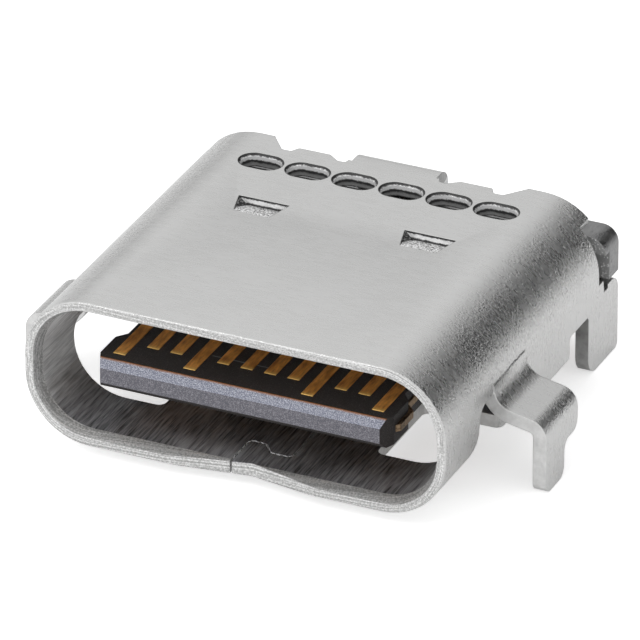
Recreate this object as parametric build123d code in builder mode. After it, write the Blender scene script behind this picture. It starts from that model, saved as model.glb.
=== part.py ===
from build123d import *
import os

os.makedirs("parts", exist_ok=True)

# A usb-c socket that sits in a cut-out of its board. Millimetres, +Z up, +Y back into the socket.
# The origin is the middle of the mouth, in the plane of its rim.

# Sheet and mouth of the folded shell
sheet = 0.28
mouth_width = 8.38
mouth_height = 2.60
mouth_corner = 1.10
lead_in_wall = 0.10
lead_in_depth = 0.25
rim_round = 0.04

# Lengths of the shell, from the rim back
ring_depth = 1.62
ear_depth = 7.90
side_step = 0.44
side_lean = 0.26
tab_step = 0.28
notch_step = 0.46
flap_reach = 0.22

# Notched rear edge of the top, as half widths from the middle
flap_half_base = 1.02
flap_half_end = 0.92
tab_half_inner = 1.18
tab_inner_slope = 0.24
tab_half_outer = 2.10
tab_outer_slope = 0.10
ear_half_inner = 2.40
ear_slope = 0.36
ear_half_outer = 4.04
ear_lowest = 1.10
ear_round = 0.15
notch_round = 0.06
crease_width = 0.07
crease_deep = 0.03
flap_bend = 0.34

# Slots and lances in the top
slot_count = 6
slot_gap = 0.16
slot_length = 0.86
slot_width = 0.54
slot_margin = 0.66
slot_edge = 0.05
lance_place = 1.79
lance_margin = 1.48
lance_length = 0.62
lance_half = 0.55
lance_front_half = 0.38
lance_floor_half = 0.36
lance_drop = 0.18

# Front legs, lanced from the walls and bent out and down
leg_front = 2.28
shoulder_width = 1.54
leg_width = 0.90
leg_reach = 5.58
leg_top = -0.07
leg_fall = 0.22
leg_bend = 0.38
root_bend = 0.46
root_top = 0.36
shoulder_low = -1.08
shoulder_round = 0.22
leg_tip_round = 0.24
foot_level = -1.82
relief_top = 0.16
relief_round = 0.30
relief_rear = 0.08

# Side walls behind the front legs, and the rear legs in line with them
wall_low = -0.92
rear_slot_length = 0.94
rear_slot_top = -0.45
rear_slot_round = 0.10
rear_leg_length = 1.48
rear_leg_round = 0.40
rear_corner_round = 0.12
wall_end_top = -0.18
wall_end_round = 0.32
wall_notch_length = 0.20
wall_notch_low = -0.27
wall_edge_round = 0.08

# Floor behind the mouth, and the dovetail seam along it
floor_neck_half = 2.28
floor_wing_half = 3.90
floor_wing_front = 3.95
floor_short = 1.80
floor_round = 0.16
seam_gap = 0.04
seam_side = -0.15
seam_neck = 0.20
seam_flank = 0.42
seam_head = 0.87
seam_middle = 1.75
seam_mouth_half = 0.65
seam_neck_half = 0.69
seam_head_half = 0.97
seam_round = 0.12
lip_left = -1.50
lip_right = 1.80
lip_apex = 0.28
lip_deep = 0.25

# Rear cover, a shallow pan behind the shell
cover_sheet = 0.20
cover_side = 0.40
cover_reach = 0.54
cover_length = 0.46
cover_lip_length = 0.66
cover_top = 0.85
cover_side_low = -0.11
cover_low = -0.36
cover_corner = 0.34
cover_tab_inner = 3.30
cover_tab_low = -1.10
cover_tab_round = 0.15

# Tongue and its root
tongue_front = 0.26
tongue_level = -0.09
tongue_thick = 0.62
tongue_half = 3.12
tongue_nose_half = 2.97
tongue_corner = 0.34
nose_deep = 0.16
nose_flat = 0.16
waist_half = 2.95
waist_front = 1.28
waist_rear = 2.30
waist_slope = 0.22
root_length = 0.85
root_half = 3.30
root_thick = 1.20
root_bevel = 0.05
flange_thick = 0.58
flange_clearance = 0.03

# Latch plate through the middle of the tongue
plate_thick = 0.15
plate_half = 3.20
plate_front = 0.60
plate_corner = 0.16
plate_waist_half = 2.99
plate_waist_front = 1.34
plate_waist_rear = 2.24
plate_short = 0.12
plate_back_half = 2.60

# Contacts, in two rows of twelve
contact_count = 12
contact_pitch = 0.50
contact_width = 0.25
contact_thick = 0.13
contact_proud = 0.01
contact_tip_long = 0.60
contact_tip_short = 1.07
contact_tip_cut = 0.08
short_contacts_between = 2
tail_clearance = 0.32
tail_bend = 0.22
tail_level = -0.50
tail_reach = 0.51
pin_inset = 0.37
pin_stagger = 0.55
pin_tip = -1.76
pin_tip_cut = 0.06

# Carriers that hold each row's roots
carrier_half = 4.16
carrier_corner = 1.15
carrier_short = 0.48
carrier_step = 0.30
carrier_step_depth = 0.45

# Ground plates on the tongue's root
ground_sheet = 0.10
ground_half = 3.05

# One overrun for all cuts, and one reach for picking corners by their place
over = 0.50
snap = 0.001

# Sizes that follow
shell_width = mouth_width + 2 * sheet
shell_height = mouth_height + 2 * sheet
shell_corner = mouth_corner + sheet
shell_top = shell_height / 2
wall_out = shell_width / 2
wall_in = mouth_width / 2
bend_start = mouth_corner - mouth_height / 2
shoulder_rear = leg_front + shoulder_width
wall_front = shoulder_rear + relief_rear
side_depth = ear_depth - side_step
side_low_depth = side_depth + side_lean
tab_depth = ear_depth - tab_step
notch_depth = ear_depth - notch_step
flap_depth = ear_depth + flap_reach
slot_pitch = slot_length + slot_gap
slot_place = notch_depth - slot_margin
lance_rear = slot_place - lance_margin
lance_front = lance_rear - lance_length
floor_end = ear_depth - floor_short
cover_back = ear_depth + cover_reach
cover_front = cover_back - cover_length
cover_lip_front = cover_back - cover_lip_length
rear_leg_front = cover_back - rear_leg_length
rear_slot_front = rear_leg_front - rear_slot_length
wall_notch_rear = side_low_depth + wall_notch_length
carrier_back = ear_depth - carrier_short
plate_back = carrier_back - plate_short
tail_drop = carrier_back + tail_clearance
tail_end = cover_back + tail_reach
pin_rear = carrier_back - pin_inset
pin_front = pin_rear - pin_stagger
flange_front = lance_rear
flange_back = flange_front + flange_thick
root_front = flange_front - root_length
tongue_top = tongue_level + tongue_thick / 2
tongue_under = tongue_level - tongue_thick / 2
root_top_face = tongue_level + root_thick / 2
plate_top = tongue_level + plate_thick / 2
plate_under = tongue_level - plate_thick / 2
contact_top = tongue_top + contact_proud
contact_under = tongue_under - contact_proud
cover_panel_front = cover_back - cover_sheet


def across(depth):
    """Plane across the socket, at a depth behind the rim"""
    return Plane.XZ.offset(-depth)


def at(shapes, axis, place):
    """Those of a list of shapes that lie at a place along an axis"""
    return shapes.filter_by_position(axis, place - snap, place + snap)


def bent_strip(points, radii, thickness):
    """Face of a bent strip: a line along one side, the same line a thickness to its right, and both ends"""
    spots = [Vector(*point) for point in points]
    ways = [(b - a).normalized() for a, b in zip(spots, spots[1:])]
    rights = [Vector(way.Y, -way.X) for way in ways]
    far_spots = [spots[0] + rights[0] * thickness]
    far_radii = []
    for i, radius in enumerate(radii):
        mitre = (rights[i] + rights[i + 1]) / (1 + rights[i].dot(rights[i + 1]))
        far_spots.append(spots[i + 1] + mitre * thickness)
        turn = ways[i].X * ways[i + 1].Y - ways[i].Y * ways[i + 1].X
        far_radii.append(radius + thickness if turn > 0 else radius - thickness)
    far_spots.append(spots[-1] + rights[-1] * thickness)
    with BuildLine() as outline:
        near_line = FilletPolyline(*spots, radius=list(radii))
        far_line = FilletPolyline(*far_spots, radius=far_radii)
        Line(near_line @ 0, far_line @ 0)
        Line(near_line @ 1, far_line @ 1)
    make_face(outline.edges())


def mirrored(points):
    """Closed outline from the points of its right half, front to back"""
    return points + [(-x, y) for x, y in reversed(points)]


# Shell: one folded sheet, with its tube, floor, lances, slots, legs and notched rear edge
with BuildPart() as shell:
    with BuildSketch(Plane.XZ):
        RectangleRounded(shell_width, shell_height, shell_corner)
    extrude(amount=-ear_depth)
    fillet(shell.faces().sort_by(Axis.Y)[0].edges(), rim_round)
    with BuildSketch(Plane.XZ):
        RectangleRounded(mouth_width, mouth_height, mouth_corner)
    extrude(amount=-ear_depth, mode=Mode.SUBTRACT)
    with BuildSketch(Plane.XZ):
        RectangleRounded(
            mouth_width + 2 * lead_in_wall,
            mouth_height + 2 * lead_in_wall,
            mouth_corner + lead_in_wall,
        )
    with BuildSketch(across(lead_in_depth)):
        RectangleRounded(mouth_width, mouth_height, mouth_corner)
    loft(mode=Mode.SUBTRACT)

    # Behind the ring the lower corners are cut away up to where their bend starts
    with BuildSketch(Plane.YZ):
        with Locations((ring_depth, bend_start)):
            Rectangle(ear_depth, shell_height, align=(Align.MIN, Align.MAX))
    extrude(amount=shell_width, both=True, mode=Mode.SUBTRACT)

    # Openings that the front legs were lanced from: a rounded relief in front, and the legs' roots behind it
    with BuildSketch(Plane.YZ) as leg_opening:
        with Locations((ring_depth, relief_top)):
            Rectangle(wall_front - ring_depth, shell_height, align=(Align.MIN, Align.MAX))
        fillet(leg_opening.vertices().group_by(Axis.Y)[-1].sort_by(Axis.X)[0], relief_round)
        with Locations((leg_front, root_top)):
            Rectangle(shoulder_width, shell_height, align=(Align.MIN, Align.MAX))
    extrude(amount=shell_width, both=True, mode=Mode.SUBTRACT)

    # Leaning rear edge of the sides below the ears
    with BuildSketch(Plane.YZ):
        with BuildLine():
            Polyline(
                (side_depth, ear_lowest),
                (side_low_depth, bend_start),
                (ear_depth + over, bend_start),
                (ear_depth + over, ear_lowest),
                close=True,
            )
        make_face()
    extrude(amount=shell_width, both=True, mode=Mode.SUBTRACT)

    # Notched rear edge of the top
    right_edge = [
        (flap_half_base, notch_depth),
        (tab_half_inner, notch_depth),
        (tab_half_inner + tab_inner_slope, tab_depth),
        (tab_half_outer, tab_depth),
        (tab_half_outer + tab_outer_slope, notch_depth),
        (ear_half_inner, notch_depth),
        (ear_half_inner + ear_slope, ear_depth),
        (ear_half_inner + ear_slope, ear_depth + over),
        (flap_half_end, ear_depth + over),
        (flap_half_end, ear_depth),
    ]
    for side in (1, -1):
        with BuildSketch(Plane.XY) as rear_notches:
            with BuildLine():
                Polyline(*[(side * x, y) for x, y in right_edge], close=True)
            make_face()
            for depth in (notch_depth, tab_depth):
                fillet(at(rear_notches.vertices(), Axis.Y, depth), notch_round)
            ear_tips = at(rear_notches.vertices(), Axis.Y, ear_depth).sort_by(Axis.X)
            fillet(ear_tips[-1 if side > 0 else 0], ear_round)
        extrude(amount=shell_height, mode=Mode.SUBTRACT)
        with BuildSketch(Plane.XY):
            with Locations((side * ear_half_outer, side_depth)):
                Rectangle(over, over, align=(Align.MIN if side > 0 else Align.MAX, Align.MIN))
        extrude(amount=shell_height, mode=Mode.SUBTRACT)

    # Score line across the flap, then the flap bent down on to the rear cover
    with Locations((0, notch_depth, shell_top)):
        Box(2 * flap_half_end, crease_width, 2 * crease_deep, mode=Mode.SUBTRACT)
    with BuildSketch(Plane.YZ):
        with Locations((ear_depth - flap_bend, shell_top - flap_bend)):
            Rectangle(flap_bend + over, flap_bend + over, align=(Align.MIN, Align.MIN))
    extrude(amount=flap_half_base, both=True, mode=Mode.SUBTRACT)
    with BuildSketch(Plane.YZ):
        bent_strip(
            [(ear_depth - flap_bend - sheet, shell_top), (flap_depth, shell_top), (flap_depth, cover_top)],
            [flap_bend],
            sheet,
        )
    extrude(amount=flap_half_end, both=True)

    # Row of slots
    with BuildSketch(Plane.XY.offset(shell_top)):
        with Locations((0, slot_place)):
            with GridLocations(slot_pitch, slot_pitch, slot_count, 1):
                SlotOverall(slot_length, slot_width)
    extrude(amount=-2 * sheet, mode=Mode.SUBTRACT)
    chamfer(shell.faces().sort_by(Axis.Z)[-1].inner_wires().edges(), slot_edge)

    # Two lances, each a dent that slopes down to its rear, where the sheet is cut and stops the moulding
    for side in (1, -1):
        with BuildPart(mode=Mode.PRIVATE) as dent:
            with BuildSketch(across(lance_rear)):
                with BuildLine():
                    Polyline(
                        (side * lance_place - lance_half, shell_top),
                        (side * lance_place - lance_floor_half, shell_top - lance_drop),
                        (side * lance_place + lance_floor_half, shell_top - lance_drop),
                        (side * lance_place + lance_half, shell_top),
                        close=True,
                    )
                make_face()
            extrude(amount=lance_rear - lance_front)
            with BuildSketch(Plane.YZ):
                with BuildLine():
                    Polyline(
                        (lance_front, shell_top),
                        (lance_rear, shell_top),
                        (lance_rear, shell_top - lance_drop),
                        close=True,
                    )
                make_face()
            extrude(amount=wall_in, both=True, mode=Mode.INTERSECT)
            with BuildSketch(Plane.XY.offset(shell_top)):
                with BuildLine():
                    Polyline(
                        (side * lance_place - lance_front_half, lance_front),
                        (side * lance_place - lance_half, lance_rear),
                        (side * lance_place + lance_half, lance_rear),
                        (side * lance_place + lance_front_half, lance_front),
                        close=True,
                    )
                make_face()
            extrude(amount=-sheet, mode=Mode.INTERSECT)
        add(dent.part, mode=Mode.SUBTRACT)
        add(dent.part.moved(Location((0, 0, -sheet))))
        add(dent.part, mode=Mode.SUBTRACT)

    # Side walls with the rear legs, below the bend's start
    for side in (1, -1):
        with BuildSketch(Plane.YZ.offset(side * wall_out)) as side_wall:
            with BuildLine():
                Polyline(
                    (wall_front, bend_start),
                    (wall_front, wall_low),
                    (rear_slot_front, wall_low),
                    (rear_slot_front, rear_slot_top),
                    (rear_leg_front, rear_slot_top),
                    (rear_leg_front, foot_level),
                    (cover_back, foot_level),
                    (cover_back, wall_end_top),
                    (wall_notch_rear, wall_end_top),
                    (wall_notch_rear, wall_notch_low),
                    (side_low_depth, wall_notch_low),
                    (side_low_depth, bend_start),
                    close=True,
                )
            make_face()
            feet = side_wall.vertices().group_by(Axis.Y)[0].sort_by(Axis.X)
            fillet(feet[0], rear_leg_round)
            fillet(side_wall.vertices().group_by(Axis.Y)[0].sort_by(Axis.X)[-1], rear_corner_round)
            slot_corners = at(side_wall.vertices(), Axis.Y, rear_slot_top)
            fillet(slot_corners, rear_slot_round)
            fillet(at(side_wall.vertices(), Axis.Y, wall_low), wall_edge_round)
            fillet(side_wall.vertices().group_by(Axis.X)[-1].sort_by(Axis.Y)[-1], wall_end_round)
        extrude(amount=-side * sheet)

    # Floor: a neck between the leg openings, and wings behind them
    with BuildSketch(Plane.XY.offset(-shell_top)) as floor:
        with Locations((0, ring_depth)):
            Rectangle(2 * (wall_in - mouth_corner), sheet, align=(Align.CENTER, Align.MAX))
            Rectangle(2 * floor_neck_half, floor_end - ring_depth, align=(Align.CENTER, Align.MIN))
        with Locations((0, floor_wing_front)):
            Rectangle(2 * floor_wing_half, floor_end - floor_wing_front, align=(Align.CENTER, Align.MIN))
        fillet(at(floor.vertices(), Axis.X, floor_neck_half), floor_round)
        fillet(at(floor.vertices(), Axis.X, -floor_neck_half), floor_round)
        fillet(at(floor.vertices(), Axis.X, floor_wing_half), floor_round)
        fillet(at(floor.vertices(), Axis.X, -floor_wing_half), floor_round)
    extrude(amount=sheet)

    # Seam along the floor, where the sheet's two edges meet in a dovetail
    with BuildSketch(Plane.XY.offset(-shell_top)):
        with BuildLine():
            FilletPolyline(
                (seam_side, -over),
                (seam_side, seam_middle - seam_mouth_half),
                (seam_neck, seam_middle - seam_neck_half),
                (seam_flank, seam_middle - seam_head_half),
                (seam_head, seam_middle - seam_head_half),
                (seam_head, seam_middle + seam_head_half),
                (seam_flank, seam_middle + seam_head_half),
                (seam_neck, seam_middle + seam_neck_half),
                (seam_side, seam_middle + seam_mouth_half),
                (seam_side, floor_end + over),
                radius=seam_round,
            )
        trace(line_width=seam_gap)
    extrude(amount=sheet, mode=Mode.SUBTRACT)

    # Shallow recess in the floor's front edge, about the seam
    with BuildSketch(Plane.XY.offset(-shell_top)):
        with BuildLine():
            Polyline((lip_left, 0), (lip_apex, lip_deep), (lip_right, 0), (lip_apex, -over), close=True)
        make_face()
    extrude(amount=sheet, mode=Mode.SUBTRACT)

    # Front legs, each with a wide shoulder over a narrower leg
    with BuildPart(mode=Mode.PRIVATE) as front_leg:
        with BuildSketch(across(leg_front)):
            bent_strip(
                [
                    (wall_out, root_top),
                    (wall_out, leg_top),
                    (leg_reach, leg_top - leg_fall),
                    (leg_reach, foot_level),
                ],
                [root_bend, leg_bend],
                sheet,
            )
        extrude(amount=-shoulder_width)
        with BuildSketch(Plane.YZ.offset(leg_reach)) as leg_side:
            with BuildLine():
                Polyline(
                    (leg_front, root_top),
                    (leg_front, foot_level),
                    (leg_front + leg_width, foot_level),
                    (leg_front + leg_width, shoulder_low),
                    (shoulder_rear, shoulder_low),
                    (shoulder_rear, root_top),
                    close=True,
                )
            make_face()
            fillet(at(leg_side.vertices(), Axis.Y, foot_level), leg_tip_round)
            fillet(at(leg_side.vertices(), Axis.Y, shoulder_low), shoulder_round)
        extrude(amount=-(leg_reach - mouth_corner), mode=Mode.INTERSECT)
    add(front_leg.part)
    add(mirror(front_leg.part, about=Plane.YZ, mode=Mode.PRIVATE))

shell.part.label = "shell"
export_step(shell.part, "parts/shell.step")

# Rear cover: a shallow pan with rounded upper corners, and a tab inside each rear leg
with BuildPart() as rear_cover:
    with BuildSketch(across(cover_lip_front)) as pan:
        with Locations((0, cover_top)):
            Rectangle(shell_width, cover_top - cover_side_low, align=(Align.CENTER, Align.MAX))
        fillet(pan.vertices().group_by(Axis.Y)[-1], cover_corner)
    extrude(amount=-(cover_back - cover_lip_front))
    with BuildSketch(across(cover_lip_front)) as pan_inside:
        with Locations((0, cover_top - cover_sheet)):
            Rectangle(shell_width - 2 * cover_side, cover_top, align=(Align.CENTER, Align.MAX))
        fillet(pan_inside.vertices().group_by(Axis.Y)[-1], cover_corner - cover_sheet)
    extrude(amount=-(cover_panel_front - cover_lip_front), mode=Mode.SUBTRACT)
    with BuildSketch(Plane.YZ):
        with Locations((cover_lip_front, cover_top - cover_corner)):
            Rectangle(cover_front - cover_lip_front, shell_height, align=(Align.MIN, Align.MAX))
    extrude(amount=shell_width, both=True, mode=Mode.SUBTRACT)
    with BuildSketch(across(cover_panel_front)) as lower_panel:
        with Locations((0, cover_side_low + cover_sheet)):
            Rectangle(2 * wall_in, cover_side_low + cover_sheet - cover_low, align=(Align.CENTER, Align.MAX))
        for side in (1, -1):
            with Locations((side * (wall_in + cover_tab_inner) / 2, cover_low)):
                Rectangle(wall_in - cover_tab_inner, 2 * (cover_low - cover_tab_low))
        fillet(lower_panel.vertices().group_by(Axis.Y)[0], cover_tab_round)
    extrude(amount=-cover_sheet)

rear_cover.part.label = "rear_cover"
export_step(rear_cover.part, "parts/rear_cover.step")

# Latch plate, with a waist that the plug's latches catch
with BuildPart() as mid_plate:
    with BuildSketch(Plane.XY.offset(plate_under)):
        with BuildLine():
            Polyline(
                *mirrored([
                    (plate_half - plate_corner, plate_front),
                    (plate_half, plate_front + plate_corner),
                    (plate_half, plate_waist_front),
                    (plate_waist_half, plate_waist_front + waist_slope),
                    (plate_waist_half, plate_waist_rear),
                    (plate_half, plate_waist_rear + waist_slope),
                    (plate_half, flange_back),
                    (plate_back_half, flange_back),
                    (plate_back_half, plate_back),
                ]),
                close=True,
            )
        make_face()
    extrude(amount=plate_thick)

mid_plate.part.label = "mid_plate"
export_step(mid_plate.part, "parts/mid_plate.step")


def contact_x(number):
    """Place of a contact across the row"""
    return (number - (contact_count - 1) / 2) * contact_pitch


def contact_tip(number):
    """Place of a contact's front end: the first and fourth from each end, power and ground, are longer"""
    from_end = min(number, contact_count - 1 - number)
    return contact_tip_short if from_end % (short_contacts_between + 1) else contact_tip_long


def upper_strip(tip):
    """Side of an upper contact: along the tongue, down behind the carriers and out to a foot"""
    bent_strip(
        [
            (tip, contact_top),
            (tail_drop + contact_thick, contact_top),
            (tail_drop + contact_thick, tail_level),
            (tail_end, tail_level),
        ],
        [tail_bend + contact_thick, tail_bend],
        contact_thick,
    )


def lower_strip(tip, drop):
    """Side of a lower contact: along the underside of the tongue, then down as a pin through the board"""
    bent_strip(
        [(tip, contact_under + contact_thick), (drop, contact_under + contact_thick), (drop, pin_tip)],
        [tail_bend],
        contact_thick,
    )


upper_contacts = []
lower_contacts = []
for number in range(contact_count):
    tip = contact_tip(number)
    with BuildPart() as contact:
        with BuildSketch(Plane.YZ.offset(contact_x(number))):
            upper_strip(tip)
        extrude(amount=contact_width / 2, both=True)
        chamfer(contact.edges().filter_by(Axis.X).sort_by(Axis.Y)[0:2].sort_by(Axis.Z)[-1], contact_tip_cut)
    contact.part.label = f"upper_contact_{number + 1:02d}"
    export_step(contact.part, f"parts/{contact.part.label}.step")
    upper_contacts.append(contact.part)

    with BuildPart() as contact:
        with BuildSketch(Plane.YZ.offset(contact_x(number))):
            lower_strip(tip, pin_front if number % 2 else pin_rear)
        extrude(amount=contact_width / 2, both=True)
        chamfer(contact.edges().filter_by(Axis.X).sort_by(Axis.Y)[0:2].sort_by(Axis.Z)[0], contact_tip_cut)
        chamfer(contact.edges().filter_by(Axis.Y).group_by(Axis.Z)[0], pin_tip_cut)
    contact.part.label = f"lower_contact_{number + 1:02d}"
    export_step(contact.part, f"parts/{contact.part.label}.step")
    lower_contacts.append(contact.part)

# Tongue: the black moulding with its bevelled nose, waist, stepped root and flange
with BuildPart() as tongue:
    with BuildSketch(Plane.XY.offset(tongue_under)):
        with BuildLine():
            Polyline(
                *mirrored([
                    (tongue_nose_half, tongue_front),
                    (tongue_half, tongue_front + tongue_corner),
                    (tongue_half, waist_front),
                    (waist_half, waist_front + waist_slope),
                    (waist_half, waist_rear),
                    (tongue_half, waist_rear + waist_slope),
                    (tongue_half, flange_back),
                ]),
                close=True,
            )
        make_face()
    extrude(amount=tongue_thick)
    with BuildSketch(Plane.YZ):
        with BuildLine():
            Polyline(
                (tongue_front + nose_deep, tongue_top),
                (tongue_front, tongue_level + nose_flat),
                (tongue_front, tongue_level - nose_flat),
                (tongue_front + nose_deep, tongue_under),
                (flange_back, tongue_under),
                (flange_back, tongue_top),
                close=True,
            )
        make_face()
    extrude(amount=tongue_half, both=True, mode=Mode.INTERSECT)
    with BuildSketch(across(root_front)):
        with Locations((0, tongue_level)):
            Rectangle(2 * root_half, root_thick)
    extrude(amount=-(flange_front - root_front))
    for end in (0, -1):
        step_edges = at(tongue.faces().filter_by(Axis.Y), Axis.Y, root_front).edges().filter_by(Axis.X)
        chamfer(step_edges.group_by(Axis.Z)[end], root_bevel)
    with BuildSketch(across(flange_front)):
        RectangleRounded(
            mouth_width - 2 * flange_clearance,
            mouth_height - 2 * flange_clearance,
            mouth_corner - flange_clearance,
        )
    extrude(amount=-flange_thick)
    add(mid_plate.part, mode=Mode.SUBTRACT)
    for contact_part in upper_contacts + lower_contacts:
        add(contact_part, mode=Mode.SUBTRACT)

tongue.part.label = "tongue"
export_step(tongue.part, "parts/tongue.step")

# Upper carrier, on the upper row's roots and under the shell's top
with BuildPart() as upper_carrier:
    with BuildSketch(across(flange_back)):
        RectangleRounded(2 * carrier_half, mouth_height, carrier_corner)
        with Locations((0, plate_top)):
            Rectangle(mouth_width, mouth_height, align=(Align.CENTER, Align.MAX), mode=Mode.SUBTRACT)
    extrude(amount=-(carrier_back - flange_back))
    with BuildSketch(Plane.YZ):
        with Locations((carrier_back, mouth_height / 2)):
            Rectangle(carrier_step_depth, carrier_step, align=(Align.MAX, Align.MAX))
    extrude(amount=wall_in, both=True, mode=Mode.SUBTRACT)
    for contact_part in upper_contacts:
        add(contact_part, mode=Mode.SUBTRACT)

upper_carrier.part.label = "upper_carrier"
export_step(upper_carrier.part, "parts/upper_carrier.step")

# Lower carrier, on the lower row's roots and over the shell's floor
with BuildPart() as lower_carrier:
    with BuildSketch(across(flange_back)):
        RectangleRounded(2 * carrier_half, mouth_height, carrier_corner)
        with Locations((0, plate_under)):
            Rectangle(mouth_width, mouth_height, align=(Align.CENTER, Align.MIN), mode=Mode.SUBTRACT)
    extrude(amount=-(carrier_back - flange_back))
    for contact_part in lower_contacts:
        add(contact_part, mode=Mode.SUBTRACT)

lower_carrier.part.label = "lower_carrier"
export_step(lower_carrier.part, "parts/lower_carrier.step")

# Ground plates that wrap the step of the tongue's root, above and below
with BuildPart() as upper_ground_plate:
    with BuildSketch(Plane.YZ):
        bent_strip(
            [
                (root_front - ground_sheet, contact_top),
                (root_front - ground_sheet, root_top_face + ground_sheet),
                (flange_front, root_top_face + ground_sheet),
            ],
            [root_bevel + ground_sheet],
            ground_sheet,
        )
    extrude(amount=ground_half, both=True)

upper_ground_plate.part.label = "upper_ground_plate"
export_step(upper_ground_plate.part, "parts/upper_ground_plate.step")

with BuildPart() as lower_ground_plate:
    add(mirror(upper_ground_plate.part, about=Plane.XY.offset(tongue_level), mode=Mode.PRIVATE))

lower_ground_plate.part.label = "lower_ground_plate"
export_step(lower_ground_plate.part, "parts/lower_ground_plate.step")
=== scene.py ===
import bmesh
import bpy
import math
from mathutils import Matrix, Vector


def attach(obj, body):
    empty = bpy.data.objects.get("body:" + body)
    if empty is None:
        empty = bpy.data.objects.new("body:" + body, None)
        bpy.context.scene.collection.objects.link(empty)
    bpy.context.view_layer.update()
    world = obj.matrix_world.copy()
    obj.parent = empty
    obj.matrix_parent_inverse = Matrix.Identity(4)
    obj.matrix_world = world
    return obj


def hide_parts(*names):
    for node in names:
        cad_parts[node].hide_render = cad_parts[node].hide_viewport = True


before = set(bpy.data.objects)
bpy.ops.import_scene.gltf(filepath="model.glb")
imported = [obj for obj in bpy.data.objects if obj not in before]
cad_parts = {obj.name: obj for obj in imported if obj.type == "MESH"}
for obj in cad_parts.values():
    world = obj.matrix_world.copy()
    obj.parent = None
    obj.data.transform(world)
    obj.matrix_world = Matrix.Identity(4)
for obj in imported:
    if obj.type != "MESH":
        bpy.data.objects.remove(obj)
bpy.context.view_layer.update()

# Lengths are in metres
MM = 0.001

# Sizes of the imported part
SHEET = 0.28 * MM
MOUTH_WIDTH = 8.38 * MM
MOUTH_HEIGHT = 2.60 * MM
MOUTH_CORNER = 1.10 * MM
FOOT_LEVEL = -1.82 * MM
SHELL_TOP = MOUTH_HEIGHT / 2 + SHEET
TONGUE_FRONT = 0.26 * MM
NOSE_DEEP = 0.16 * MM
ROOT_TOP = 0.36 * MM
LEG_FRONT = 2.28 * MM
SHOULDER_WIDTH = 1.54 * MM
LANCE_FRONT = 4.68 * MM
LANCE_REAR = 5.30 * MM
RING_DEPTH = 1.62 * MM
REAR_LEG_FRONT = 6.96 * MM
CONTACT_COUNT = 12
CONTACT_PITCH = 0.50 * MM
LONG_CONTACT_EVERY = 3

# Slack of a test of place on the shell
REACH = 0.1 * SHEET

# Zones of the shell in which cut faces have a finish of their own, or painted shade on the flanks of the
# lances
LANCE_PLACE = 1.79 * MM
LANCE_HALF = 0.60 * MM
SLOTS_HALF = 3.10 * MM
SLOT_PLACE = 6.78 * MM
SLOT_REACH = 0.54 * MM
RIM_DEPTH = 0.20 * MM
SEAM_HALF = 2.20 * MM
SEAM_TURN = 0.60 * MM
TOP_UNDERSIDE = SHELL_TOP - 1.01 * SHEET
TOP_OUTSIDE = SHELL_TOP - 0.02 * SHEET

# Share of the sheet's thickness that counts as its inner or its outer skin
SKIN_SHARE = 0.1

# Least part of a face's normal along an axis for a face that looks along it, and for one that leans to it
SQUARE_ON = 0.9
LEANING = 0.5

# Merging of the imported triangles, and the angle from which an edge stays sharp
MERGE_DISTANCE = 1e-7
SHARP_ANGLE = math.radians(28)

# Radii of softly broken edges, and depths of the bumps
METAL_EDGE = 0.03 * MM
FINE_EDGE = 0.02 * MM
PEEL_RELIEF = 0.018 * MM
DRAWN_RELIEF = 0.012 * MM
COVER_RELIEF = 0.016 * MM
GROUND_RELIEF = 0.004 * MM
FINE_RELIEF = 0.010 * MM
TORN_RELIEF = 0.020 * MM
SHEAR_RELIEF = 0.016 * MM

# Crack above each front leg
CRACK_DROP = 0.02 * MM
CRACK_HALF = 0.006 * MM
CRACK_SOFT = 0.012 * MM
CRACK_WAVER = 0.30 * MM
CRACK_STRETCH_SHARE = 0.44
CRACK_END_SOFT = 0.12 * MM

# Brown line along the top edge of the tongue's nose
BROWN_LINE_BACK = 0.005 * MM
BROWN_LINE_HALF = 0.014 * MM
BROWN_LINE_SOFT = 0.02 * MM
BROWN_LINE_WAVER = 0.02 * MM

# Moulding mark on top of the tongue
MARK_DEPTH = 1.36 * MM
MARK_MIDDLE = -0.43 * MM
MARK_HALF = 0.62 * MM
MARK_LINE_HALF = 0.008 * MM
MARK_SOFT = 0.012 * MM
MARK_WAVER = 0.02 * MM
MARK_END_SOFT = 0.05 * MM

# Brightness of the glass in the black moulding, as a multiple of its body's, and spread of its roughness
GLASS_SHARE = 2.4
MOULDING_SPREAD = 0.1

# Length of the painted highlight at the tip of a contact
TIP_LENGTH = 0.22 * MM

# Brightness of a punched wall, from the inner side of the sheet at 0 to the outer one at 1, and how far the
# shear's waver
# moves it, as a share of the sheet: the dark torn zone is the wall's own, the white band under the outer edge
# is a painted highlight, and the dark rollover at the outer edge is painted shade
PUNCHED_ZONES_AND_PAINTED_LIGHT = (
    (0.0, 0.10),
    (0.12, 0.42),
    (0.26, 0.30),
    (0.38, 0.04),
    (0.50, 0.06),
    (0.58, 1.0),
    (0.80, 0.98),
    (0.88, 0.03),
)
PUNCHED_WAVER_SHARE = 0.35

# Share of soft blotches in the grain of sheet metal
BLOTCH_SHARE = 0.35

# Share of the orange peel that is left on the flat top, where the sheet isn't stretched by a bend
CALM_SHARE = 0.15

# Fineness of the orange peel, in waves for each metre
PEEL_SCALE = 24000

# Floor: size given to its grid, and gap under the feet
FLOOR_SIZE = 1500 * MM
FLOOR_GAP = 0.01 * MM

# Glow that keeps the floor pale, to the camera and in the part's reflections
CAMERA_GLOW = 0.55
MIRROR_GLOW = 0.20

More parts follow.
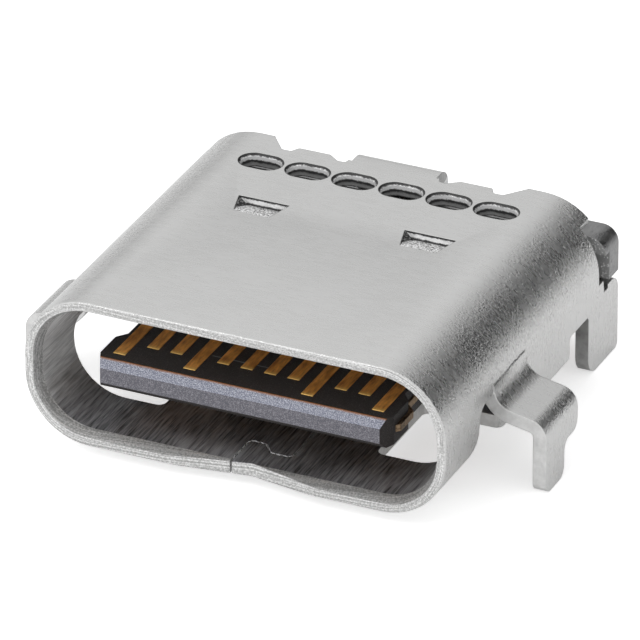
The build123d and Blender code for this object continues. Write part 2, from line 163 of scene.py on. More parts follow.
# Cards of the room: the way to each one's middle, in degrees, and its brightness by how nearly
# a ray points there
DARK_CARD_WAY = (38, 6)
DARK_CARD = ((0.42, 0.98), (0.69, 0.70), (0.80, 0.30), (0.87, 0.03), (1.0, 0.0))
GREY_CARD_WAY = (-38, 2)
GREY_CARD = ((0.84, 1.0), (0.93, 0.80), (1.0, 0.55))

# Key lamp: its way in degrees, and its power in watts
KEY_LAMP_WAY = (-150, 50)
KEY_LAMP_DISTANCE = 120 * MM
KEY_LAMP_SIZE = 60 * MM
KEY_LAMP_POWER = 0.022

# Camera, as it stood for the photograph
CAMERA_AZIMUTH = math.radians(24.68)
CAMERA_ELEVATION = math.radians(28.43)
CAMERA_ROLL = math.radians(-0.16)
CAMERA_DISTANCE = 173.04 * MM
CAMERA_RIGHT = 1.676 * MM
CAMERA_UP = 1.680 * MM
FOCAL_PIXELS = 9000
PICTURE_PIXELS = 640
SENSOR_MM = 36
CLIP_NEAR = 10 * MM
CLIP_FAR = 10000 * MM


# Node helpers

def add(tree, kind, inputs=None, **settings):
    """A new node with its settings and the values of its unlinked inputs"""
    node = tree.nodes.new(kind)
    for name, value in settings.items():
        setattr(node, name, value)
    for name, value in (inputs or {}).items():
        node.inputs[name].default_value = value
    return node


def wire(tree, *pairs):
    """Links each pair of an output and an input"""
    for output, target in pairs:
        tree.links.new(output, target)


def new_group(name, inputs, outputs):
    """A shader node group with named inputs and outputs: (name, socket type, value)"""
    tree = bpy.data.node_groups.new(name, "ShaderNodeTree")
    for label, kind, value in inputs:
        socket = tree.interface.new_socket(label, in_out="INPUT", socket_type=kind)
        socket.default_value = value
    for label, kind in outputs:
        tree.interface.new_socket(label, in_out="OUTPUT", socket_type=kind)
    return tree, tree.nodes.new("NodeGroupInput"), tree.nodes.new("NodeGroupOutput")


def place_group(tree, group, **values):
    """A group placed in a material, with its own values"""
    node = tree.nodes.new("ShaderNodeGroup")
    node.node_tree = group
    for name, value in values.items():
        node.inputs[name.replace("_", " ").capitalize()].default_value = value
    return node


def new_material(name):
    """An empty material with its Principled shader"""
    material = bpy.data.materials.new(name)
    material.use_nodes = True
    tree = material.node_tree
    return material, tree, tree.nodes["Principled BSDF"]


# Shader groups

def make_grain():
    """Surface of rolled or drawn sheet: long lines, a fine orange peel and soft blotches"""
    tree, given, result = new_group(
        "sheet_grain",
        [
            ("Stretch", "NodeSocketVector", (1, 1, 1)),
            ("Line scale", "NodeSocketFloat", 9000),
            ("Peel scale", "NodeSocketFloat", 26000),
            ("Peel share", "NodeSocketFloat", 0.5),
            ("Blotch scale", "NodeSocketFloat", 700),
        ],
        [("Grain", "NodeSocketFloat"), ("Height", "NodeSocketFloat")],
    )
    place = add(tree, "ShaderNodeTexCoord")
    stretched = add(tree, "ShaderNodeVectorMath", operation="MULTIPLY")
    lines = add(tree, "ShaderNodeTexNoise", {"Detail": 3, "Roughness": 0.6})
    peel = add(tree, "ShaderNodeTexNoise", {"Detail": 1.5, "Roughness": 0.5, "Distortion": 0.8})
    blotches = add(tree, "ShaderNodeTexNoise", {"Detail": 2, "Roughness": 0.5})
    blend = add(tree, "ShaderNodeMix", {"Factor": BLOTCH_SHARE}, data_type="FLOAT")
    grain = add(tree, "ShaderNodeMapRange", {"From Min": 0.36, "From Max": 0.64})
    height = add(tree, "ShaderNodeMix", data_type="FLOAT")
    wire(
        tree,
        (place.outputs["Object"], stretched.inputs[0]),
        (given.outputs["Stretch"], stretched.inputs[1]),
        (stretched.outputs[0], lines.inputs["Vector"]),
        (given.outputs["Line scale"], lines.inputs["Scale"]),
        (place.outputs["Object"], peel.inputs["Vector"]),
        (given.outputs["Peel scale"], peel.inputs["Scale"]),
        (place.outputs["Object"], blotches.inputs["Vector"]),
        (given.outputs["Blotch scale"], blotches.inputs["Scale"]),
        (lines.outputs["Fac"], blend.inputs["A"]),
        (blotches.outputs["Fac"], blend.inputs["B"]),
        (blend.outputs["Result"], grain.inputs["Value"]),
        (given.outputs["Peel share"], height.inputs["Factor"]),
        (lines.outputs["Fac"], height.inputs["A"]),
        (peel.outputs["Fac"], height.inputs["B"]),
        (grain.outputs["Result"], result.inputs["Grain"]),
        (height.outputs["Result"], result.inputs["Height"]),
    )
    return tree


def make_specks():
    """Small bright or dark specks, as on a rough moulding or a torn edge"""
    tree, given, result = new_group(
        "specks",
        [
            ("Scale", "NodeSocketFloat", 20000),
            ("Threshold", "NodeSocketFloat", 0.6),
            ("Softness", "NodeSocketFloat", 0.08),
        ],
        [("Mask", "NodeSocketFloat"), ("Height", "NodeSocketFloat")],
    )
    place = add(tree, "ShaderNodeTexCoord")
    noise = add(tree, "ShaderNodeTexNoise", {"Detail": 2, "Roughness": 0.7})
    upper = add(tree, "ShaderNodeMath", operation="ADD")
    mask = add(tree, "ShaderNodeMapRange", interpolation_type="SMOOTHSTEP")
    wire(
        tree,
        (place.outputs["Object"], noise.inputs["Vector"]),
        (given.outputs["Scale"], noise.inputs["Scale"]),
        (given.outputs["Threshold"], upper.inputs[0]),
        (given.outputs["Softness"], upper.inputs[1]),
        (noise.outputs["Fac"], mask.inputs["Value"]),
        (given.outputs["Threshold"], mask.inputs["From Min"]),
        (upper.outputs[0], mask.inputs["From Max"]),
        (mask.outputs["Result"], result.inputs["Mask"]),
        (noise.outputs["Fac"], result.inputs["Height"]),
    )
    return tree


def make_facing():
    """How far a surface faces a direction of the part, from 0 to 1"""
    tree, given, result = new_group(
        "facing",
        [
            ("Direction", "NodeSocketVector", (0, -1, 0)),
            ("Start", "NodeSocketFloat", 0.3),
            ("Full", "NodeSocketFloat", 0.7),
        ],
        [("Mask", "NodeSocketFloat")],
    )
    surface = add(tree, "ShaderNodeNewGeometry")
    along = add(tree, "ShaderNodeVectorMath", operation="DOT_PRODUCT")
    mask = add(tree, "ShaderNodeMapRange", interpolation_type="SMOOTHSTEP")
    wire(
        tree,
        (surface.outputs["True Normal"], along.inputs[0]),
        (given.outputs["Direction"], along.inputs[1]),
        (along.outputs["Value"], mask.inputs["Value"]),
        (given.outputs["Start"], mask.inputs["From Min"]),
        (given.outputs["Full"], mask.inputs["From Max"]),
        (mask.outputs["Result"], result.inputs["Mask"]),
    )
    return tree


def make_band():
    """A wavering band across the part: 1 on it and 0 off it, at a place along a direction"""
    tree, given, result = new_group(
        "band",
        [
            ("Direction", "NodeSocketVector", (0, 0, 1)),
            ("Place", "NodeSocketFloat", 0),
            ("Half width", "NodeSocketFloat", 0.02 * MM),
            ("Softness", "NodeSocketFloat", 0.01 * MM),
            ("Waver", "NodeSocketFloat", 0),
            ("Waver scale", "NodeSocketFloat", 6000),
        ],
        [("Mask", "NodeSocketFloat")],
    )
    place = add(tree, "ShaderNodeTexCoord")
    along = add(tree, "ShaderNodeVectorMath", operation="DOT_PRODUCT")
    waves = add(tree, "ShaderNodeTexNoise", {"Detail": 2})
    centred = add(tree, "ShaderNodeMath", {1: 0.5}, operation="SUBTRACT")
    moved = add(tree, "ShaderNodeMath", operation="MULTIPLY_ADD")
    offset = add(tree, "ShaderNodeMath", operation="SUBTRACT")
    distance = add(tree, "ShaderNodeMath", operation="ABSOLUTE")
    outer = add(tree, "ShaderNodeMath", operation="ADD")
    mask = add(tree, "ShaderNodeMapRange", {"To Min": 1, "To Max": 0}, interpolation_type="SMOOTHSTEP")
    wire(
        tree,
        (place.outputs["Object"], along.inputs[0]),
        (given.outputs["Direction"], along.inputs[1]),
        (place.outputs["Object"], waves.inputs["Vector"]),
        (given.outputs["Waver scale"], waves.inputs["Scale"]),
        (waves.outputs["Fac"], centred.inputs[0]),
        (centred.outputs[0], moved.inputs[0]),
        (given.outputs["Waver"], moved.inputs[1]),
        (along.outputs["Value"], moved.inputs[2]),
        (moved.outputs[0], offset.inputs[0]),
        (given.outputs["Place"], offset.inputs[1]),
        (offset.outputs[0], distance.inputs[0]),
        (given.outputs["Half width"], outer.inputs[0]),
        (given.outputs["Softness"], outer.inputs[1]),
        (distance.outputs[0], mask.inputs["Value"]),
        (given.outputs["Half width"], mask.inputs["From Min"]),
        (outer.outputs[0], mask.inputs["From Max"]),
        (mask.outputs["Result"], result.inputs["Mask"]),
    )
    return tree


def make_stripes():
    """Stripes that a shear leaves along a cut edge, from how far a point lies across the sheet"""
    tree, given, result = new_group(
        "shear_stripes",
        [
            ("Stripe scale", "NodeSocketFloat", 12),
            ("Break scale", "NodeSocketFloat", 1500),
            ("Torn share", "NodeSocketFloat", 0.4),
        ],
        [("Mask", "NodeSocketFloat"), ("Height", "NodeSocketFloat")],
    )
    across = add(tree, "ShaderNodeAttribute", attribute_name="across_sheet")
    stripe = add(tree, "ShaderNodeMath", operation="MULTIPLY")
    stripe_place = add(tree, "ShaderNodeCombineXYZ")
    place = add(tree, "ShaderNodeTexCoord")
    breaks = add(tree, "ShaderNodeVectorMath", operation="SCALE")
    joined = add(tree, "ShaderNodeVectorMath", operation="ADD")
    stripes = add(tree, "ShaderNodeTexNoise", {"Scale": 1, "Detail": 3, "Roughness": 0.7})
    torn = add(tree, "ShaderNodeTexNoise", {"Scale": 24000, "Detail": 2, "Roughness": 0.7})
    height = add(tree, "ShaderNodeMix", data_type="FLOAT")
    mask = add(
        tree, "ShaderNodeMapRange", {"From Min": 0.38, "From Max": 0.66}, interpolation_type="SMOOTHSTEP")
    wire(
        tree,
        (across.outputs["Fac"], stripe.inputs[0]),
        (given.outputs["Stripe scale"], stripe.inputs[1]),
        (stripe.outputs[0], stripe_place.inputs["X"]),
        (place.outputs["Object"], breaks.inputs[0]),
        (given.outputs["Break scale"], breaks.inputs["Scale"]),
        (stripe_place.outputs[0], joined.inputs[0]),
        (breaks.outputs[0], joined.inputs[1]),
        (joined.outputs[0], stripes.inputs["Vector"]),
        (place.outputs["Object"], torn.inputs["Vector"]),
        (given.outputs["Torn share"], height.inputs["Factor"]),
        (stripes.outputs["Fac"], height.inputs["A"]),
        (torn.outputs["Fac"], height.inputs["B"]),
        (height.outputs["Result"], mask.inputs["Value"]),
        (mask.outputs["Result"], result.inputs["Mask"]),
        (height.outputs["Result"], result.inputs["Height"]),
    )
    return tree


GRAIN = make_grain()
SPECKS = make_specks()
FACING = make_facing()
BAND = make_band()
STRIPES = make_stripes()


# Materials

def grey(level):
    """Colour with no hue"""
    return (level, level, level)


def brightness_ramp(tree, stops):
    """Ramp of greys with a level at each place"""
    ramp = add(tree, "ShaderNodeValToRGB")
    while len(ramp.color_ramp.elements) < len(stops):
        ramp.color_ramp.elements.new(0.5)
    for element, (spot, level) in zip(ramp.color_ramp.elements, stops):
        element.position = spot
        element.color = (*grey(level), 1)
    return ramp


def base_colour(shader):
    """Output that feeds a shader's base colour"""
    return shader.inputs["Base Color"].links[0].from_socket


def two_colours(tree, mask, low, high):
    """Colour that goes from low to high with a mask"""
    mix = add(tree, "ShaderNodeMix", {"A": (*low, 1), "B": (*high, 1)}, data_type="RGBA")
    wire(tree, (mask, mix.inputs["Factor"]))
    return mix.outputs["Result"]


def over_colour(tree, mask, colour, top):
    """A plain colour laid over another one by a mask"""
    mix = add(tree, "ShaderNodeMix", {"B": (*top, 1)}, data_type="RGBA")
    wire(tree, (mask, mix.inputs["Factor"]), (colour, mix.inputs["A"]))
    return mix.outputs["Result"]


def over_layer(tree, mask, under, over):
    """One colour laid over another by a mask"""
    mix = add(tree, "ShaderNodeMix", data_type="RGBA")
    wire(tree, (mask, mix.inputs["Factor"]), (under, mix.inputs["A"]), (over, mix.inputs["B"]))
    return mix.outputs["Result"]


def between(tree, mask, low, high):
    """Value that goes from low to high with a mask"""
    span = add(tree, "ShaderNodeMapRange", {"To Min": low, "To Max": high})
    wire(tree, (mask, span.inputs["Value"]))
    return span.outputs["Result"]


def both_masks(tree, *masks):
    """Where every one of some masks is on"""
    result = masks[0]
    for mask in masks[1:]:
        product = add(tree, "ShaderNodeMath", operation="MULTIPLY")
        wire(tree, (result, product.inputs[0]), (mask, product.inputs[1]))
        result = product.outputs[0]
    return result


def relief(tree, shader, height, strength, distance, edge_radius):
    """Bump on top of softly broken edges"""
    rounded = add(tree, "ShaderNodeBevel", {"Radius": edge_radius}, samples=6)
    bump = add(tree, "ShaderNodeBump", {"Strength": strength, "Distance": distance})
    wire(
        tree,
        (height, bump.inputs["Height"]),
        (rounded.outputs["Normal"], bump.inputs["Normal"]),
        (bump.outputs["Normal"], shader.inputs["Normal"]),
    )
    return bump


def sheet_parts(name, low, high, roughness, stretch, line_scale, peel_share, strength, distance):
    """Plated sheet with fine grain lines, orange peel and soft blotches: its material, tree and nodes"""
    material, tree, shader = new_material(name)
    shader.inputs["Metallic"].default_value = 1
    grain = place_group(
        tree, GRAIN, stretch=stretch, line_scale=line_scale, peel_share=peel_share, peel_scale=PEEL_SCALE)
    wire(
        tree,
        (two_colours(tree, grain.outputs["Grain"], low, high), shader.inputs["Base Color"]),
        (between(tree, grain.outputs["Grain"], *roughness), shader.inputs["Roughness"]),
    )
    bump = relief(tree, shader, grain.outputs["Height"], strength, distance, METAL_EDGE)
    return material, tree, shader, grain, bump


def sheet_metal(name, **finish):
    """Plated sheet with nothing added to it"""
    return sheet_parts(name, **finish)[0]


def outer_skin():
    """Outside of the shell, calm on its flat top, with the crack at the root of each bent front leg"""
    material, tree, shader, grain, bump = sheet_parts(
        "plated_sheet", low=(0.60, 0.60, 0.595), high=(0.655, 0.655, 0.65), roughness=(0.24, 0.32),
        stretch=(0.25, 1, 0.25), line_scale=14000, peel_share=0.85, strength=1.0, distance=PEEL_RELIEF)
    line = place_group(
        tree, BAND, direction=(0, 0, 1), place=ROOT_TOP - CRACK_DROP, half_width=CRACK_HALF,
        softness=CRACK_SOFT, waver=CRACK_WAVER, waver_scale=1700)
    stretch = place_group(
        tree, BAND, direction=(0, 1, 0), place=LEG_FRONT + SHOULDER_WIDTH / 2,
        half_width=SHOULDER_WIDTH * CRACK_STRETCH_SHARE, softness=CRACK_END_SOFT)
    crack = both_masks(tree, line.outputs["Mask"], stretch.outputs["Mask"])
    flat = place_group(tree, FACING, direction=(0, 0, 1), start=0.90, full=0.999)
    calm = between(tree, flat.outputs["Mask"], 1, CALM_SHARE)
    wire(
        tree,
        (over_colour(tree, crack, base_colour(shader), grey(0.12)), shader.inputs["Base Color"]),
        (both_masks(tree, grain.outputs["Height"], calm), bump.inputs["Height"]),
    )
    return material


def inner_skin():
    """Inside of the shell, drawn along its depth, bright on the walls, with painted shade on the floor that
    faces up
    """
    material, tree, shader, grain, _ = sheet_parts(
        "drawn_inside", low=(0.50, 0.50, 0.502), high=grey(1.0), roughness=(0.34, 0.48),
        stretch=(1, 0.06, 1), line_scale=24000, peel_share=0.05, strength=1.0, distance=DRAWN_RELIEF)
    shader.inputs["Metallic"].default_value = 0.7
    # Faces that look up get a far darker colour than the walls: painted shade on the floor inside the mouth
    floor = place_group(tree, FACING, direction=(0, 0, 1), start=0.2, full=0.95)
    painted_floor_shade = two_colours(tree, grain.outputs["Grain"], (0.05, 0.05, 0.054), (0.42, 0.42, 0.44))
    both = over_layer(tree, floor.outputs["Mask"], base_colour(shader), painted_floor_shade)
    wire(tree, (both, shader.inputs["Base Color"]))
    return material


def punched_wall():
    """Wall of a punched slot: dark where the sheet tears, bright where the punch rubbed it, with a painted
    highlight there, and dark at the rollover as painted shade
    """
    material, tree, shader = new_material("punched_wall")
    shader.inputs["Metallic"].default_value = 0.3
    shader.inputs["Roughness"].default_value = 0.42
    across = add(tree, "ShaderNodeAttribute", attribute_name="across_sheet")
    stripes = place_group(tree, STRIPES, torn_share=0.5, stripe_scale=4, break_scale=7000)
    waver = between(tree, stripes.outputs["Height"], -0.5, 0.5)
    moved = add(tree, "ShaderNodeMath", {1: PUNCHED_WAVER_SHARE}, operation="MULTIPLY_ADD")
    # The ramp paints a highlight on the rubbed band and shade at the rollover, over the wall's own dark torn
    # zone
    zones = brightness_ramp(tree, PUNCHED_ZONES_AND_PAINTED_LIGHT)
    wire(
        tree,
        (waver, moved.inputs[0]),
        (across.outputs["Fac"], moved.inputs[2]),
        (moved.outputs[0], zones.inputs["Fac"]),
        (zones.outputs["Color"], shader.inputs["Base Color"]),
    )
    relief(tree, shader, stripes.outputs["Height"], 0.5, FINE_RELIEF, METAL_EDGE)
    return material


def torn_face(name, low, high, threshold):
    """Rough face that a tear leaves, with sharp bright and dark specks"""
    material, tree, shader = new_material(name)
    shader.inputs["Metallic"].default_value = 0.2
    specks = place_group(tree, SPECKS, scale=22000, threshold=threshold, softness=0.08)
    wire(
        tree,
        (two_colours(tree, specks.outputs["Mask"], low, high), shader.inputs["Base Color"]),
        (between(tree, specks.outputs["Mask"], 0.6, 0.3), shader.inputs["Roughness"]),
    )
    relief(tree, shader, specks.outputs["Height"], 0.8, TORN_RELIEF, FINE_EDGE)
    return material


def sheared_edge(name, low, high, torn_share):
    """Cut edge of the sheet: shear stripes with torn specks between them"""
    material, tree, shader = new_material(name)
    shader.inputs["Metallic"].default_value = 0.75
    stripes = place_group(tree, STRIPES, torn_share=torn_share)
    wire(
        tree,
        (two_colours(tree, stripes.outputs["Mask"], low, high), shader.inputs["Base Color"]),
        (between(tree, stripes.outputs["Mask"], 0.55, 0.36), shader.inputs["Roughness"]),
    )
    relief(tree, shader, stripes.outputs["Height"], 0.7, SHEAR_RELIEF, METAL_EDGE)
    return material


def moulding_parts(name, body, roughness):
    """Glass-filled black moulding, with faint specks of glass: its material, tree and shader"""
    material, tree, shader = new_material(name)
    glass = [GLASS_SHARE * part for part in body]
    specks = place_group(tree, SPECKS, scale=42000, threshold=0.52, softness=0.14)
    wire(
        tree,
        (two_colours(tree, specks.outputs["Mask"], body, glass), shader.inputs["Base Color"]),
        (
            between(tree, specks.outputs["Mask"], roughness + MOULDING_SPREAD, roughness - MOULDING_SPREAD),
            shader.inputs["Roughness"],
        ),
    )
    relief(tree, shader, specks.outputs["Height"], 0.4, FINE_RELIEF, FINE_EDGE)
    return material, tree, shader


def tongue_with_painted_nose_light():
    """Tongue's moulding, with a painted highlight on its nose's upper bevel, a painted sheen on its front
    face, and a brown line along its top edge
    """
    material, tree, shader = moulding_parts("tongue_moulding", body=(0.020, 0.017, 0.016), roughness=0.5)
    specks = place_group(tree, SPECKS, scale=52000, threshold=0.44, softness=0.22)
    bevel = place_group(tree, FACING, direction=(0, -0.6, 0.8), start=0.90, full=0.96)
    face = place_group(tree, FACING, direction=(0, -1, 0), start=0.90, full=0.97)
    edge = place_group(
        tree, BAND, direction=(0, 1, 0), place=TONGUE_FRONT + NOSE_DEEP + BROWN_LINE_BACK, half_width=BROWN_LINE_HALF,
        softness=BROWN_LINE_SOFT, waver=BROWN_LINE_WAVER)
    top = place_group(tree, FACING, direction=(0, 0, 1), start=0.5, full=0.9)
    seam = place_group(
        tree, BAND, direction=(0, 1, 0), place=MARK_DEPTH, half_width=MARK_LINE_HALF, softness=MARK_SOFT,
        waver=MARK_WAVER)
    seam_stretch = place_group(
        tree, BAND, direction=(1, 0, 0), place=MARK_MIDDLE, half_width=MARK_HALF, softness=MARK_END_SOFT)
    # The pale speckled colour on the nose's upper bevel is a painted highlight, and the grey on its front
    # face a painted sheen
    pale = two_colours(tree, specks.outputs["Mask"], (0.17, 0.18, 0.24), (0.62, 0.64, 0.72))
    painted_front_sheen = two_colours(tree, specks.outputs["Mask"], (0.10, 0.10, 0.12), (0.27, 0.26, 0.29))
    with_bevel = over_layer(tree, bevel.outputs["Mask"], base_colour(shader), pale)
    with_face = over_layer(tree, face.outputs["Mask"], with_bevel, painted_front_sheen)
    brown_line_mask = both_masks(tree, edge.outputs["Mask"], top.outputs["Mask"])
    with_brown_line = over_colour(tree, brown_line_mask, with_face, (0.34, 0.13, 0.035))
    mark = both_masks(tree, top.outputs["Mask"], seam.outputs["Mask"], seam_stretch.outputs["Mask"])
    wire(tree, (over_colour(tree, mark, with_brown_line, (0.16, 0.17, 0.17)), shader.inputs["Base Color"]))
    return material


def gold_plate(name, low, high):
    """Gold plating with faint wear along the contact, and a painted highlight at its tip"""
    material, tree, shader = new_material(name)
    shader.inputs["Metallic"].default_value = 0.4
    grain = place_group(tree, GRAIN, stretch=(1, 0.2, 1), line_scale=16000, blotch_scale=2500, peel_share=0.6)
    from_tip = add(tree, "ShaderNodeAttribute", attribute_name="from_tip")
    # The bright orange laid over the tip is a painted highlight
    tip = add(tree, "ShaderNodeMapRange", {"To Min": 1, "To Max": 0}, interpolation_type="SMOOTHSTEP")
    plain = two_colours(tree, grain.outputs["Grain"], low, high)
    wire(
        tree,
        (from_tip.outputs["Fac"], tip.inputs["Value"]),
        (over_colour(tree, tip.outputs["Result"], plain, (1.0, 0.66, 0.20)), shader.inputs["Base Color"]),
        (between(tree, grain.outputs["Grain"], 0.28, 0.5), shader.inputs["Roughness"]),
    )
    relief(tree, shader, grain.outputs["Height"], 0.6, FINE_RELIEF, FINE_EDGE)
    return material


plated_sheet = outer_skin()
drawn_inside = inner_skin()
cover_sheet = sheet_metal(
    "cover_sheet", low=(0.19, 0.19, 0.192), high=grey(0.30), roughness=(0.26, 0.38),
    stretch=(1, 0.3, 1), line_scale=16000, peel_share=0.8, strength=1.0, distance=COVER_RELIEF)
ground_sheet = sheet_metal(
    "ground_sheet", low=(0.40, 0.40, 0.395), high=(0.52, 0.52, 0.515), roughness=(0.35, 0.5),
    stretch=(0.3, 1, 1), line_scale=9000, peel_share=0.3, strength=0.3, distance=GROUND_RELIEF)
latch_sheet = sheet_metal(
    "latch_sheet", low=(0.10, 0.065, 0.04), high=(0.46, 0.33, 0.21), roughness=(0.35, 0.55),
    stretch=(1, 1, 1), line_scale=16000, peel_share=0.6, strength=0.8, distance=FINE_RELIEF)
cut_edge = sheared_edge("cut_edge", low=(0.38, 0.38, 0.376), high=(0.94, 0.94, 0.935), torn_share=0.45)
torn_bright = torn_face("torn_bright", low=grey(0.16), high=grey(1.0), threshold=0.44)
# Darker copy of the torn face: painted shade on the flanks of the lances
torn_dark = torn_face("torn_dark", low=grey(0.02), high=grey(0.34), threshold=0.52)
cover_edge = torn_face("cover_edge", low=grey(0.36), high=grey(0.98), threshold=0.56)
slot_wall = punched_wall()
leg_edge = sheet_metal(
    "leg_edge", low=(0.60, 0.60, 0.595), high=(0.80, 0.80, 0.795), roughness=(0.38, 0.5),
    stretch=(0.3, 1, 0.3), line_scale=16000, peel_share=0.6, strength=0.6, distance=FINE_RELIEF)
shaded_edge = sheet_metal(
    "shaded_edge", low=(0.26, 0.26, 0.258), high=(0.46, 0.46, 0.455), roughness=(0.38, 0.5),
    stretch=(0.3, 1, 0.3), line_scale=16000, peel_share=0.6, strength=0.6, distance=FINE_RELIEF)
tongue_moulding = tongue_with_painted_nose_light()
carrier_moulding = moulding_parts("carrier_moulding", body=(0.020, 0.020, 0.021), roughness=0.45)[0]
contact_gold = gold_plate("contact_gold", low=(0.42, 0.16, 0.03), high=(0.96, 0.45, 0.11))


# Shell: a smooth copy of the imported node, with each face in its own finish, or in a darker copy that paints
# shade

def outside_mouth(x, z):
    """Distance of a point outside the mouth's section, less than 0 inside it"""
    across = abs(x) - MOUTH_WIDTH / 2 + MOUTH_CORNER
    along = abs(z) - MOUTH_HEIGHT / 2 + MOUTH_CORNER
    beyond = math.hypot(max(across, 0), max(along, 0))
    return beyond + min(max(across, along), 0) - MOUTH_CORNER


def across_wall(place):
    """Share of the sheet's thickness at which a point lies, 0 on the inner skin and 1 on the outer one"""
    beside_mouth = abs(place.x) - MOUTH_WIDTH / 2
    below_bend = place.z < MOUTH_CORNER - MOUTH_HEIGHT / 2 and place.y > RING_DEPTH
    on_wall = below_bend and beside_mouth > -REACH
    depth = beside_mouth if on_wall else outside_mouth(place.x, place.z)
    return min(max(depth / SHEET, 0), 1)


def merged_mesh(node, name):
    """Merged copy of a node's mesh, smooth but for its real edges"""
    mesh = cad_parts[node].data.copy()
    mesh.name = name
    shape = bmesh.new()
    shape.from_mesh(mesh)
    bmesh.ops.remove_doubles(shape, verts=shape.verts, dist=MERGE_DISTANCE)
    for face in shape.faces:
        face.smooth = True
    for edge in shape.edges:
        edge.smooth = edge.is_manifold and edge.calc_face_angle(0) < SHARP_ANGLE
    shape.to_mesh(mesh)
    shape.free()
    mesh.materials.clear()
    return mesh


def smooth_copy(node, name):
    """Piece with a node's own shape, in its place"""
    piece = bpy.data.objects.new(name, merged_mesh(node, name))
    bpy.context.scene.collection.objects.link(piece)
    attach(piece, "root")
    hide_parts(node)
    return piece


def shell_material(face):
    """Material of one of the shell's faces, by its place and the way it looks"""
    centre = face.center
    in_top = TOP_UNDERSIDE < centre.z < TOP_OUTSIDE
    beside_lance = abs(abs(centre.x) - LANCE_PLACE) < LANCE_HALF
    if in_top and beside_lance and LANCE_FRONT < centre.y < LANCE_REAR + REACH:
        # A lance's flanks get the darker copy of the torn face, painted shade; its floor gets the bright torn
        # face
        if abs(face.normal.x) > LEANING:
            return torn_dark
        return torn_bright if face.normal.z > SQUARE_ON else slot_wall
    if in_top and abs(centre.x) < SLOTS_HALF and abs(centre.y - SLOT_PLACE) < SLOT_REACH:
        return slot_wall
    share = across_wall(centre)
    if abs(face.normal.y) < SQUARE_ON and not SKIN_SHARE < share < 1 - SKIN_SHARE:
        return drawn_inside if share <= SKIN_SHARE else plated_sheet
    if centre.y < RIM_DEPTH:
        return cut_edge
    if centre.y < RING_DEPTH and abs(centre.x) < SEAM_HALF:
        return torn_bright if centre.y > SEAM_TURN else cut_edge
    return shaded_edge if centre.y > REAR_LEG_FRONT - REACH else leg_edge


SHELL_MATERIALS = (
    plated_sheet,
    drawn_inside,
    cut_edge,
    torn_bright,
    torn_dark,
    slot_wall,
    leg_edge,
    shaded_edge,
)
shell = smooth_copy("shell", "shell_sheet")
for material in SHELL_MATERIALS:
    shell.data.materials.append(material)
for face in shell.data.polygons:
    face.material_index = SHELL_MATERIALS.index(shell_material(face))
across_sheet = shell.data.attributes.new("across_sheet", "FLOAT", "POINT")
for vertex, share in zip(shell.data.vertices, across_sheet.data):
    share.value = across_wall(vertex.co)

rear_cover = smooth_copy("rear_cover", "rear_cover_pan")
rear_cover.data.materials.append(cover_sheet)
rear_cover.data.materials.append(cover_edge)
for face in rear_cover.data.polygons:
    face.material_index = 1 if face.normal.y < -LEANING else 0


# Contacts: one tree sets out each row from templates of four of its own packed contacts

# Kinds of place in a row, and the number of a packed contact that stands at one
CONTACT_SHAPES = (
    ("Long at even place", 1),
    ("Short at even place", 3),
    ("Long at odd place", 4),
    ("Short at odd place", 2),
)


